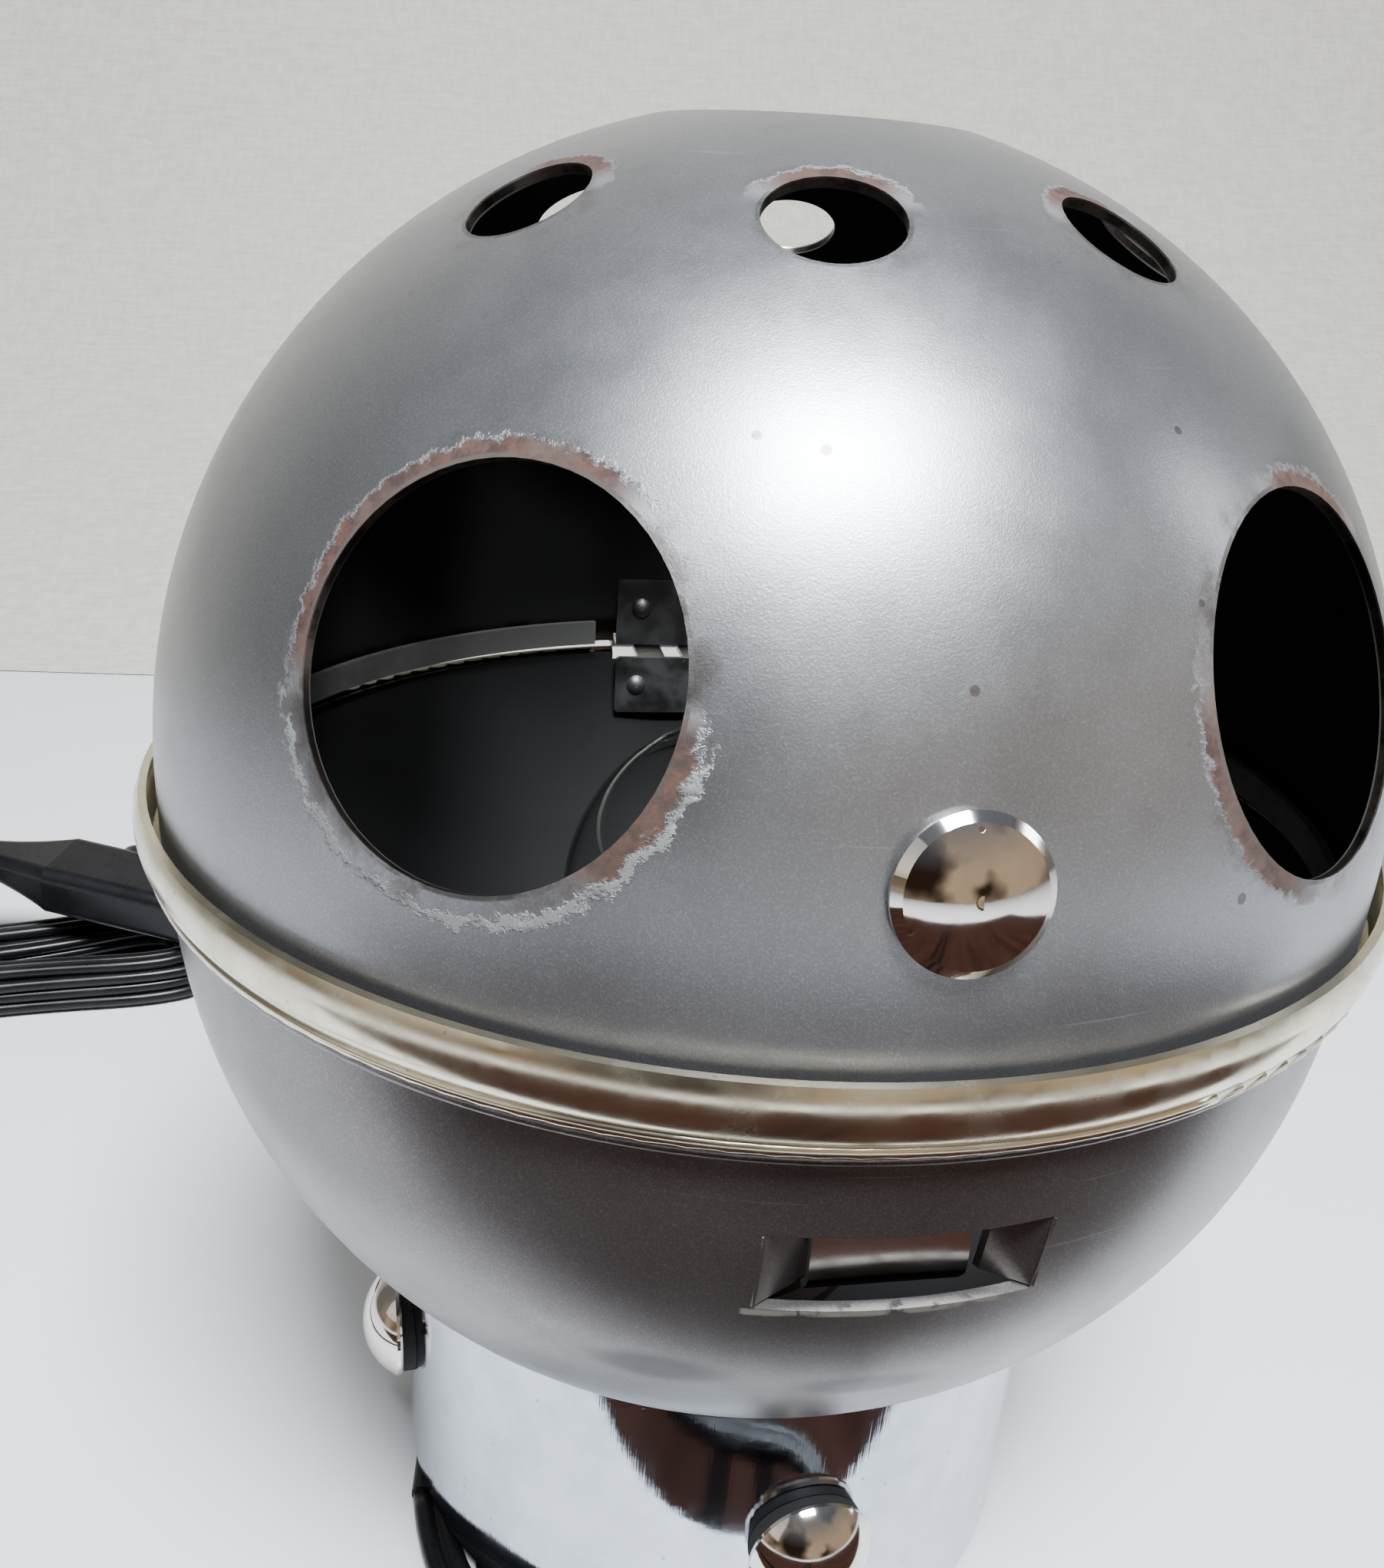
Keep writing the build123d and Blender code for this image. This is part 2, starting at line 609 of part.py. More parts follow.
with BuildPart() as holder_contact:
    with BuildSketch(Plane.XY.offset(27.65)):
        SlotOverall(11, 3.6)
    extrude(amount=0.5)
    with BuildSketch(Plane.XY.offset(28.1)):
        Circle(2.2)
    extrude(amount=1.2)
holder_contact.part.label = "holder_contact"
export_step(holder_contact.part, "parts/holder_contact.step")

with BuildPart() as shade_ring:
    with BuildSketch(Plane.XZ):
        with BuildLine():
            Polyline((HOLDER_R + 0.1, 32.5), (19.0, 32.5), (19.0, 34.0), (17.2, 34.6), (17.2, 36.5))
            Polyline((17.2, 36.5), (HOLDER_R + 0.1, 36.5), (HOLDER_R + 0.1, 32.5))
        make_face()
    revolve(axis=Axis.Z)
shade_ring.part.label = "shade_ring"
export_step(shade_ring.part, "parts/shade_ring.step")

with BuildPart() as bulb_glass:
    for wall, mode in ((0.0, Mode.ADD), (BULB_WALL, Mode.SUBTRACT)):
        globe_r = BULB_R - wall
        low = radians(BULB_SHOULDER)
        neck_start = (globe_r * cos(low), BULB_Z - globe_r * sin(low))
        with BuildSketch(Plane.XZ):
            with BuildLine():
                globe = CenterArc((0, BULB_Z), globe_r, 90, -90 - BULB_SHOULDER)
                neck = TangentArc(neck_start, (7.3 - wall, 57.0), tangent=(-sin(low), -cos(low)))
                Polyline(neck @ 1, (6.6 - wall, 52.1 - wall), (0, 52.1 - wall), (0, BULB_Z + globe_r))
            make_face()
        revolve(axis=Axis.Z, mode=mode)
bulb_glass.part.label = "bulb_glass"
export_step(bulb_glass.part, "parts/bulb_glass.step")

with BuildPart() as bulb_cap:
    with BuildSketch(Plane.XY.offset(BULB_CAP_LOW_Z + 1.5)):
        Circle(BULB_CAP_R)
    extrude(amount=BULB_CAP_TOP_Z - BULB_CAP_LOW_Z - 1.5)
    with BuildSketch(Plane.XY.offset(BULB_CAP_LOW_Z + 1.5)):
        Circle(BULB_CAP_R - 0.6)
    with BuildSketch(Plane.XY.offset(BULB_CAP_LOW_Z)):
        Circle(3.0)
    loft()
    with BuildSketch(Plane.XY.offset(BULB_CAP_LOW_Z)):
        Circle(2.3)
    extrude(amount=-0.6)
bulb_cap.part.label = "bulb_cap"
export_step(bulb_cap.part, "parts/bulb_cap.step")

with BuildPart() as bulb_stem:
    with BuildSketch(Plane.XZ):
        with BuildLine():
            Polyline((0, 52.2), (5.2, 52.2), (5.0, 54.0))
            ThreePointArc((5.0, 54.0), (2.6, 57.5), (2.0, 63.0))
            Polyline((2.0, 63.0), (1.3, 64.0), (1.3, 75.0), (1.9, 76.0), (1.3, 77.2), (0, 77.4), (0, 52.2))
        make_face()
    revolve(axis=Axis.Z)
bulb_stem.part.label = "bulb_stem"
export_step(bulb_stem.part, "parts/bulb_stem.step")
print("base and lampholder done")

# ---- lead inside the drum -----------------------------------------------------------------------------------
RELIEF_START = (-36.4, 6.5, 1.7)
RELIEF_END = (-38.6, -13.0, 1.6)
lead_route = [
    RELIEF_START,
    (-36.0, 12.2, 1.8),
    (-34.6, 16.8, 4.3),
    (-30.5, 17.6, 7.6),
    (-26.5, 15.8, 8.0),
    (-18.0, 10.6, 8.3),
    (-8.0, 4.6, 8.6),
    (-1.6, 0.9, 10.6),
    (0.0, 0.0, 15.0),
    (0.0, 0.02, 23.6),
]
with BuildPart() as inner_lead:
    with BuildLine():
        lead_path = FilletPolyline(*lead_route, radius=corner_radii(lead_route))
    with BuildSketch(lead_path ^ 0):
        Circle(LEAD_R)
    sweep(path=lead_path)
inner_lead.part.label = "inner_lead"
export_step(inner_lead.part, "parts/inner_lead.step")

CLAMP_AT = Vector(-22.2, 13.2, 0)
clamp_plane = Plane(CLAMP_AT + Vector(0, 0, 4.8), x_dir=(0.853, -0.521, 0), z_dir=(0, 0, 1))
with BuildPart() as cable_clamp:
    with BuildSketch(clamp_plane):
        RectangleRounded(7, 17, 1.5)
    extrude(amount=6.0)
    tunnel_at = clamp_plane.origin + Vector(0, 0, 3.35)
    with BuildSketch(Plane(tunnel_at, x_dir=clamp_plane.y_dir, z_dir=clamp_plane.x_dir).offset(-6)):
        SlotOverall(4.6, 4.4)
    extrude(amount=12, mode=Mode.SUBTRACT)
cable_clamp.part.label = "cable_clamp"
export_step(cable_clamp.part, "parts/cable_clamp.step")

RELIEF_RUN = Vector(*RELIEF_END) - Vector(*RELIEF_START)
with BuildPart() as strain_relief:
    with BuildSketch(Plane(RELIEF_START, x_dir=(1, 0, 0), z_dir=RELIEF_RUN)):
        RectangleRounded(6.0, 3.0, 1.2)
    with BuildSketch(Plane(RELIEF_END, x_dir=(1, 0, 0), z_dir=RELIEF_RUN)):
        RectangleRounded(5.4, 2.8, 1.2)
    loft()
strain_relief.part.label = "strain_relief"
export_step(strain_relief.part, "parts/strain_relief.step")

# ---- flex, hank and plug ------------------------------------------------------------------------------------
FLEX_Z = 1.6
flex_route = [
    (-38.6, -13.0),
    (-37.9, -21.5),
    (-33.4, -30.4),
    (-26.0, -37.2),
    (-16.6, -42.6),
    (-5.6, -45.6),
    (5.0, -46.8),
    (14.0, -50.6),
    (19.0, -59.0),
    (16.5, -69.0),
    (7.0, -74.6),
    (-6.0, -76.0),
    (-25.0, -76.6),
    (-45.0, -76.4),
    (-64.0, -73.0),
    (-80.0, -65.0),
    (-92.0, -53.0),
    (-100.0, -38.0),
    (-104.5, -22.0),
    (-108.0, -4.0),
    (-114.0, 18.0),
    (-124.5, 41.0),
    (-139.5, 62.0),
    (-156.5, 77.0),
    (-170.5, 91.0),
    (-177.0, 107.0),
]
flex_points = [(x, y, FLEX_Z) for x, y in flex_route]
flex_radii = corner_radii(flex_points)
print("flex radii:", [round(r, 1) for r in flex_radii])
with BuildPart() as flex_tube:
    with BuildLine():
        flex_path = FilletPolyline(*flex_points, radius=flex_radii)
    with BuildSketch(Plane(flex_points[0], x_dir=(0, 0, 1), z_dir=flex_path % 0)):
        SlotOverall(FLEX_W, FLEX_T, rotation=90)
    sweep(path=flex_path)
flex_tube.part.label = "flex_tube"
export_step(flex_tube.part, "parts/flex_tube.step")
flex_section = FLEX_T * (FLEX_W - FLEX_T) + pi * (FLEX_T / 2) ** 2
flex_expected = flex_section * flex_path.length
print(f"flex tube: {flex_path.length:.1f} mm, volume {flex_tube.part.volume:.0f} against {flex_expected:.0f}")

hank_plane = Plane((*HANK_AT, HANK_Z)).rotated((0, 0, HANK_TURN))
with BuildPart() as flex_hank:
    with BuildSketch(hank_plane):
        RectangleRounded(HANK_L, HANK_W, 13.5)
    extrude(amount=HANK_H)
    fillet(flex_hank.edges().group_by(Axis.Z)[-1], 4.4)
    fillet(flex_hank.edges().group_by(Axis.Z)[0], 3.4)
flex_hank.part.label = "flex_hank"
export_step(flex_hank.part, "parts/flex_hank.step")

TIE_T = 0.5
with BuildPart() as hank_tie:
    tie_at = hank_plane.origin - hank_plane.x_dir * 6
    with BuildSketch(Plane(tie_at, x_dir=hank_plane.y_dir, z_dir=hank_plane.x_dir)):
        with Locations((0, HANK_H / 2)):
            RectangleRounded(HANK_W + 2 * TIE_T, HANK_H + 2 * TIE_T, 3.6)
            RectangleRounded(HANK_W + 0.04, HANK_H + 0.04, 3.1, mode=Mode.SUBTRACT)
    extrude(amount=4.0)
hank_tie.part.label = "hank_tie"
export_step(hank_tie.part, "parts/hank_tie.step")

# The plug lies across the hank with its pins pointing back. Its own frame has x along the body, y along the
# pins and z out of its top.
yaw, pitch, roll = radians(PLUG_YAW), radians(PLUG_PITCH), radians(PLUG_ROLL)
plug_x = Vector(cos(pitch) * cos(yaw), cos(pitch) * sin(yaw), -sin(pitch))
level_y = Vector(-sin(yaw), cos(yaw), 0)
plug_z = plug_x.cross(level_y) * cos(roll) - level_y * sin(roll)
plug_plane = Plane(PLUG_AT, x_dir=plug_x, z_dir=plug_z)


def across_plug(x):
    """A plane across the plug's body at x, with its own x along the pins."""
    at = plug_plane.origin + plug_plane.x_dir * x
    return Plane(at, x_dir=plug_plane.y_dir, z_dir=plug_plane.x_dir)


BODY_START = -12.0
BODY_END = 27.0
SLEEVE_END = -34.0
with BuildPart() as plug_body:
    with BuildSketch(across_plug(BODY_START)):
        RectangleRounded(16.0, 11.0, 2.6)
    extrude(amount=BODY_END - BODY_START)
    body_axis = Axis(plug_plane.origin, plug_plane.x_dir)
    fillet(plug_body.faces().sort_by(body_axis)[-1].edges(), 2.0)
    with BuildSketch(across_plug(BODY_START)):
        RectangleRounded(16.0, 11.0, 2.6)
    with BuildSketch(across_plug(-22.0)):
        RectangleRounded(10.4, 7.4, 2.4)
    with BuildSketch(across_plug(SLEEVE_END)):
        RectangleRounded(6.4, 5.0, 2.0)
    loft()
    pin_face = Plane(plug_plane.origin + plug_plane.y_dir * 7.9, x_dir=plug_plane.x_dir, z_dir=plug_plane.y_dir)
    with BuildSketch(pin_face):
        with Locations((0, 0), (PLUG_PIN_GAP, 0)):
            Circle(4.4)
    extrude(amount=2.2)
plug_body.part.label = "plug_body"
export_step(plug_body.part, "parts/plug_body.step")

with BuildPart() as plug_pins:
    with BuildSketch(pin_face.offset(2.2)):
        with Locations((0, 0), (PLUG_PIN_GAP, 0)):
            Circle(PLUG_PIN_R)
    extrude(amount=PLUG_PIN_L)
    fillet(plug_pins.edges().group_by(Axis(plug_plane.origin, plug_plane.y_dir))[-1], 0.9)
plug_pins.part.label = "plug_pins"
export_step(plug_pins.part, "parts/plug_pins.step")

sleeve_tip = across_plug(SLEEVE_END).origin
plug_route = [
    (sleeve_tip.X, sleeve_tip.Y, sleeve_tip.Z),
    (-149.2, 141.2, 26.0),
    (-161.0, 139.2, 22.8),
    (-170.5, 132.0, 17.0),
    (-175.5, 122.0, 10.0),
]
plug_radii = corner_radii(plug_route)
print("plug lead radii:", [round(r, 1) for r in plug_radii])
with BuildPart() as plug_lead:
    with BuildLine():
        plug_path = FilletPolyline(*plug_route, radius=plug_radii)
    with BuildSketch(plug_path ^ 0):
        Circle(PLUG_LEAD_R)
    sweep(path=plug_path)
plug_lead.part.label = "plug_lead"
export_step(plug_lead.part, "parts/plug_lead.step")
plug_expected = pi * PLUG_LEAD_R**2 * plug_path.length
print(f"plug lead: {plug_path.length:.1f} mm, volume {plug_lead.part.volume:.0f} against {plug_expected:.0f}")
print(f"left in the hank: {FLEX_LENGTH - flex_path.length - plug_path.length:.0f} mm")
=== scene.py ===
"""Hinged ball lamp on a white table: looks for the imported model. Metres, +Z up, the knob faces -Y."""

import math
import random

import bmesh
import bpy
from mathutils import Matrix, Vector


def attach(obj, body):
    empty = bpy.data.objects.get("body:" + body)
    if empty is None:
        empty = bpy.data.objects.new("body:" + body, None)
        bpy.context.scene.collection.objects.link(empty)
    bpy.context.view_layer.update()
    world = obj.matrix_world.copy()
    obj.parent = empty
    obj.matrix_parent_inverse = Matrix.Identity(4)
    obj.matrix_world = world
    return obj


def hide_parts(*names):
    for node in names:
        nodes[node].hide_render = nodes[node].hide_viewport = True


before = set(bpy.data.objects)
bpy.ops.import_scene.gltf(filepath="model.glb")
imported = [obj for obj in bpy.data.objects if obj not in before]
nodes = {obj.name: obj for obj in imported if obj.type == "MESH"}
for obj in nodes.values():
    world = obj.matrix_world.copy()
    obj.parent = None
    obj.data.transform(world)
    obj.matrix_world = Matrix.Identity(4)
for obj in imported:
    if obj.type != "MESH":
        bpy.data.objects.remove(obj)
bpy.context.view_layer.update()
chance = random.Random(7)

UPPER_R = 0.0660
UPPER_Z = 0.1042
LOWER_R = 0.0655
LOWER_Z = 0.0939
EYE_R = 0.01597
EYE_TURN = 33.8
EYE_LIFT = 21.3
VENT_R = 0.0058
VENT_LIFT = 57.6
VENT_TURN = -10.3
SLOT_Z = 0.0826
# two dark soft ovals on the lower shell's front above the drum, each a middle and a reach: painted reflections
PAINTED_REFLECTION_OVALS = (
    ((-0.0185, -0.0568, 0.0668), (0.0068, 0.0060, 0.0030)),
    ((0.0000, -0.0586, 0.0648), (0.0072, 0.0060, 0.0024)),
)
RUST_DARK = (0.016, 0.0055, 0.0032)
RUST_LIGHT = (0.060, 0.023, 0.014)
UPPER_SILVER = (0.245, 0.248, 0.258)
# the lower shell's silver: a darker, warmer copy of the paint above, partly painted shade for the darker lower half
LOWER_SILVER_WITH_PAINTED_SHADE = (0.175, 0.163, 0.156)
FLEX_WIDTH = 0.0050
FLEX_THICK = 0.0026


# ---- camera -------------------------------------------------------------------------------------

CAMERA_AT = (-0.0355, -0.14385, 0.15877)
CAMERA_LENS = 35.08
right = Vector((0.98455, -0.16326, 0.06331))
up = Vector((0.00526, 0.38896, 0.92124))
forward = Vector((0.17503, 0.90667, -0.38381))
camera = bpy.data.objects.new("camera", bpy.data.cameras.new("camera"))
bpy.context.scene.collection.objects.link(camera)
camera.matrix_world = Matrix.Translation(CAMERA_AT) @ Matrix(
    (
        (right.x, up.x, -forward.x, 0),
        (right.y, up.y, -forward.y, 0),
        (right.z, up.z, -forward.z, 0),
        (0, 0, 0, 1),
    )
)
camera.data.lens = CAMERA_LENS
camera.data.sensor_width = 36
camera.data.sensor_fit = "HORIZONTAL"
camera.data.clip_start = 0.005
bpy.context.scene.camera = camera


# ---- small helpers ------------------------------------------------------------------------------


def link(name, mesh):
    """A new object for a mesh or curve, linked to the scene."""
    thing = bpy.data.objects.new(name, mesh)
    bpy.context.scene.collection.objects.link(thing)
    return thing


def on_ball(turn, lift, radius, centre_z):
    """The point of a ball at a turn from the knob's side and a lift above its centre, in degrees."""
    t, l = math.radians(turn), math.radians(lift)
    out = Vector((math.sin(t) * math.cos(l), -math.cos(t) * math.cos(l), math.sin(l)))
    return out * radius + Vector((0, 0, centre_z))


class Shader:
    """A material's node tree, with short ways to add nodes and join them."""

    def __init__(self, name):
        self.mat = bpy.data.materials.new(name)
        self.mat.use_nodes = True
        self.tree = self.mat.node_tree
        self.tree.nodes.clear()
        self.bsdf = self.add("ShaderNodeBsdfPrincipled")
        self.tree.links.new(self.bsdf.outputs[0], self.add("ShaderNodeOutputMaterial").inputs[0])
        self.place = self.add("ShaderNodeTexCoord").outputs["Object"]

    def add(self, kind, **settings):
        node = self.tree.nodes.new(kind)
        for key, value in settings.items():
            setattr(node, key, value)
        return node

    def join(self, value, socket):
        """Wires an output into a socket, or sets a plain value on it."""
        if isinstance(value, bpy.types.NodeSocket):
            self.tree.links.new(value, socket)
        else:
            socket.default_value = value

    def math(self, operation, a, b=0.0):
        node = self.add("ShaderNodeMath", operation=operation)
        self.join(a, node.inputs[0])
        self.join(b, node.inputs[1])
        return node.outputs[0]

    def vector(self, operation, a, b=(0, 0, 0)):
        node = self.add("ShaderNodeVectorMath", operation=operation)
        self.join(a, node.inputs[0])
        self.join(tuple(b) if not isinstance(b, bpy.types.NodeSocket) else b, node.inputs[1])
        single = operation in ("LENGTH", "DOT_PRODUCT", "DISTANCE")
        return node.outputs["Value"] if single else node.outputs["Vector"]

    def noise(self, scale, detail=4.0, rough=0.55, stretch=(1, 1, 1), shift=0.0):
        moved = self.add("ShaderNodeMapping")
        self.join(self.place, moved.inputs["Vector"])
        moved.inputs["Scale"].default_value = stretch
        moved.inputs["Location"].default_value = (shift, shift * 0.7, -shift)
        node = self.add("ShaderNodeTexNoise")
        self.join(moved.outputs[0], node.inputs["Vector"])
        node.inputs["Scale"].default_value = scale
        node.inputs["Detail"].default_value = detail
        node.inputs["Roughness"].default_value = rough
        return node.outputs["Fac"]

    def specks(self, scale, size, rarity):
        """Small round spots: 1 inside a spot, where only some cells have one."""
        node = self.add("ShaderNodeTexVoronoi")
        self.join(self.place, node.inputs["Vector"])
        node.inputs["Scale"].default_value = scale
        split = self.add("ShaderNodeSeparateColor")
        self.join(node.outputs["Color"], split.inputs[0])
        inside = self.math("LESS_THAN", node.outputs["Distance"], size)
        chosen = self.math("GREATER_THAN", split.outputs[0], rarity)
        return self.math("MULTIPLY", inside, chosen)

    def ramp(self, value, low, high, to_low=0.0, to_high=1.0):
        node = self.add("ShaderNodeMapRange", interpolation_type="SMOOTHSTEP")
        self.join(value, node.inputs["Value"])
        for key, number in (("From Min", low), ("From Max", high), ("To Min", to_low), ("To Max", to_high)):
            node.inputs[key].default_value = number
        return node.outputs[0]

    def mix(self, factor, a, b):
        node = self.add("ShaderNodeMix", data_type="RGBA")
        self.join(factor, node.inputs["Factor"])
        self.join(a if isinstance(a, bpy.types.NodeSocket) else (*a, 1.0), node.inputs["A"])
        self.join(b if isinstance(b, bpy.types.NodeSocket) else (*b, 1.0), node.inputs["B"])
        return node.outputs["Result"]

    def blend(self, factor, a, b):
        node = self.add("ShaderNodeMix", data_type="FLOAT")
        self.join(factor, node.inputs["Factor"])
        self.join(a, node.inputs["A"])
        self.join(b, node.inputs["B"])
        return node.outputs["Result"]

    def bump(self, height, distance, strength=1.0):
        node = self.add("ShaderNodeBump")
        self.join(height, node.inputs["Height"])
        node.inputs["Distance"].default_value = distance
        node.inputs["Strength"].default_value = strength
        return node.outputs[0]

    def set(self, **sockets):
        """Principled inputs by name, with _ for a space."""
        for key, value in sockets.items():
            socket = self.bsdf.inputs[key.replace("_", " ")]
            if isinstance(value, tuple) and len(value) == 3 and socket.type == "RGBA":
                value = (*value, 1.0)
            self.join(value, socket)
        return self


def dress(shader, *names):
    """Gives a material to CAD nodes or to new pieces."""
    for name in names:
        thing = nodes[name] if isinstance(name, str) else name
        if not thing.data.materials:
            thing.data.materials.append(shader.mat)
        for place in thing.material_slots:
            place.material = shader.mat


# ---- the flex: one spline, the route's points listed and then the hank's turns ---------------------

HANK_AT = Vector((-0.1320, 0.1210, 0.0))
HANK_TURN = math.radians(9.4)

route = [
    (-0.0386, -0.0130, 0.0016), (-0.0379, -0.0215, 0.0016), (-0.0334, -0.0304, 0.0016),
    (-0.0260, -0.0372, 0.0016), (-0.0166, -0.0426, 0.0016), (-0.0056, -0.0456, 0.0016),
    (0.0050, -0.0468, 0.0016), (0.0140, -0.0506, 0.0016), (0.0190, -0.0590, 0.0016),
    (0.0165, -0.0690, 0.0016), (0.0070, -0.0746, 0.0016), (-0.0060, -0.0760, 0.0016),
    (-0.0250, -0.0766, 0.0016), (-0.0450, -0.0764, 0.0016), (-0.0640, -0.0730, 0.0016),
    (-0.0800, -0.0650, 0.0016), (-0.0920, -0.0530, 0.0016), (-0.1000, -0.0380, 0.0016),
    (-0.1045, -0.0220, 0.0016), (-0.1080, -0.0040, 0.0016), (-0.1140, 0.0180, 0.0016),
    (-0.1245, 0.0410, 0.0016), (-0.1395, 0.0620, 0.0016), (-0.1565, 0.0770, 0.0016),
    (-0.1705, 0.0910, 0.0016), (-0.1775, 0.1055, 0.0017),
]
rise = [
    (-0.1755, 0.1220, 0.0100), (-0.1705, 0.1320, 0.0170), (-0.1610, 0.1392, 0.0228),
    (-0.1492, 0.1412, 0.0260), (-0.1383, 0.1379, 0.0247),
]


def in_hank(along, across, height):
    """A point of the hank from its own length, width and height."""
    c, s = math.cos(HANK_TURN), math.sin(HANK_TURN)
    return (HANK_AT.x + along * c - across * s, HANK_AT.y + along * s + across * c, height)


def hank_turn(reach, end_half, middle_half, low, high):
    """One turn in mm: the back run, the right fold, the front run and the left fold, climbing from low to high."""
    core = reach - end_half
    wide, near = end_half, end_half * 0.414
    shape = [
        (-core - wide, near), (-core - near, wide), (-9, middle_half), (9, middle_half),
        (core + near, wide), (core + wide, near), (core + wide, -near), (core + near, -wide),
        (9, -middle_half), (-9, -middle_half), (-core - near, -wide), (-core - wide, -near),
    ]
    made = []
    for step, (along, across) in enumerate(shape):
        height = low + (high - low) * max(0.0, step - 7) / 4
        along += chance.uniform(-0.5, 0.5)
        across += chance.uniform(-0.35, 0.35)
        made.append(in_hank(along / 1000, across / 1000, height / 1000))
    return made


# each turn's reach, half width at its ends and at its middle, then its first and last height, in mm
turns = (
    (46.2, 12.4, 9.8, 1.9, 1.9),
    (41.0, 10.2, 4.8, 1.9, 4.4),
    (45.4, 12.0, 9.6, 4.4, 4.4),
    (39.5, 10.0, 4.9, 4.4, 6.9),
    (46.3, 12.3, 9.7, 6.9, 6.9),
    (41.6, 10.2, 4.7, 6.9, 9.3),
    (44.0, 11.8, 8.4, 9.3, 9.3),
)
points = list(route)
for turn in turns:
    points.extend(hank_turn(*turn))
points.extend(rise)

curve = bpy.data.curves.new("flex_route", "CURVE")
curve.dimensions = "3D"
spline = curve.splines.new("NURBS")
spline.points.add(len(points) - 1)
for point, spot in zip(spline.points, points):
    point.co = (*spot, 1.0)
spline.order_u = 3
spline.use_endpoint_u = True
spline.resolution_u = 7
guide = link("flex_route", curve)
bpy.context.view_layer.update()
line_mesh = bpy.data.meshes.new_from_object(guide.evaluated_get(bpy.context.evaluated_depsgraph_get()))
flex_path = [tuple(v.co) for v in line_mesh.vertices]
bpy.data.objects.remove(guide)


def twin_flex(name, path):
    """Two round cores side by side, lying flat, swept along a path, with closed ends."""
    half, core = (FLEX_WIDTH - FLEX_THICK) / 2, FLEX_THICK / 2
    outline = []
    for step in range(20):
        angle = 2 * math.pi * step / 20
        reach = half * abs(math.cos(angle)) + math.sqrt(core**2 - (half * math.sin(angle)) ** 2)
        outline.append((reach * math.cos(angle), reach * math.sin(angle)))
    mesh = bmesh.new()
    rings = []
    spots = [Vector(p) for p in path]
    for index, spot in enumerate(spots):
        ahead = (spots[min(index + 1, len(spots) - 1)] - spots[max(index - 1, 0)]).normalized()
        side = ahead.cross(Vector((0, 0, 1))).normalized()
        top = side.cross(ahead)
        rings.append([mesh.verts.new(spot + side * a + top * b) for a, b in outline])
    for one, two in zip(rings, rings[1:]):
        for k in range(20):
            mesh.faces.new((one[k], one[(k + 1) % 20], two[(k + 1) % 20], two[k]))
    mesh.faces.new(rings[0][::-1])
    mesh.faces.new(rings[-1])
    for face in mesh.faces:
        face.smooth = True
    data = bpy.data.meshes.new(name)
    mesh.to_mesh(data)
    mesh.free()
    return link(name, data)


flex = twin_flex("flex", flex_path)
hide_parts("flex_tube", "flex_hank", "plug_lead")
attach(flex, "base")


# ---- table, wall and light ------------------------------------------------------------------------


def sheet(name, left, right):
    """A smooth stage surface between two edges that have the same number of points."""
    count = len(left)
    faces = [(k, count + k, count + k + 1, k + 1) for k in range(count - 1)]
    data = bpy.data.meshes.new(name)
    data.from_pydata([tuple(spot) for spot in (*left, *right)], [], faces)
    for face in data.polygons:
        face.use_smooth = True
    thing = link(name, data)
    return thing


def backdrop_edge(end):
    """The wall's edge at one end: it leaves the table at a line, bends up and goes on upright, clear of every view."""
    steps = 32
    foot = wall_mid + along_wall * end
    edge = []
    for step in range(steps + 1):
        angle = math.pi / 2 * step / steps
        edge.append(foot + away * WALL_BEND * math.sin(angle) + Vector((0, 0, WALL_BEND * (1 - math.cos(angle)))))
    return [*edge, edge[-1] + Vector((0, 0, 1.0))]


table = sheet("table", ((-1.6, -1.2, 0), (-1.6, 1.1, 0)), ((1.6, -1.2, 0), (1.6, 1.1, 0)))
card_high = 0.0002
card = sheet(
    "card",
    ((-0.30, -0.40, card_high), (-0.30, -0.061, card_high)),
    ((0.30, -0.40, card_high), (0.30, -0.061, card_high)),
)
WALL_BEND = 0.60
wall_turn = math.radians(-4.0)
wall_mid = Vector((-0.164, 0.333, 0.0004))
along_wall = Vector((math.cos(wall_turn), math.sin(wall_turn), 0))
away = Vector((-along_wall.y, along_wall.x, 0))
wall = sheet("wall", backdrop_edge(-1.6), backdrop_edge(1.6))

table_paint = Shader("table_paint")
mottle = table_paint.noise(9, 3)
table_paint.set(
    Base_Color=table_paint.mix(mottle, (0.58, 0.59, 0.62), (0.63, 0.64, 0.665)),
    Roughness=table_paint.ramp(table_paint.noise(30, 5), 0.3, 0.7, 0.32, 0.42),
    Normal=table_paint.bump(table_paint.noise(900, 3), 0.00006, 0.4),
)
dress(table_paint, table)

wood = Shader("wood")
figure = wood.noise(1.0, 5, 0.6, (60, 6, 1))
lanes = wood.add("ShaderNodeSeparateXYZ")
wood.join(wood.place, lanes.inputs[0])
from_middle = wood.math("ABSOLUTE", wood.math("ADD", lanes.outputs["X"], 0.0035))
lane = wood.math("ABSOLUTE", wood.math("SUBTRACT", from_middle, 0.0065))
gap = wood.ramp(lane, 0.0034, 0.0026)
plank = wood.mix(wood.ramp(figure, 0.3, 0.7), (0.013, 0.0055, 0.0038), (0.028, 0.0125, 0.0090))
wood.set(
    Base_Color=wood.mix(wood.math("MULTIPLY", gap, 0.85), plank, (0.0012, 0.0014, 0.0020)),
    Roughness=wood.ramp(figure, 0.3, 0.7, 0.7, 0.9), Specular_IOR_Level=0.02,
    Normal=wood.bump(figure, 0.0003, 0.4),
)
dress(wood, card)

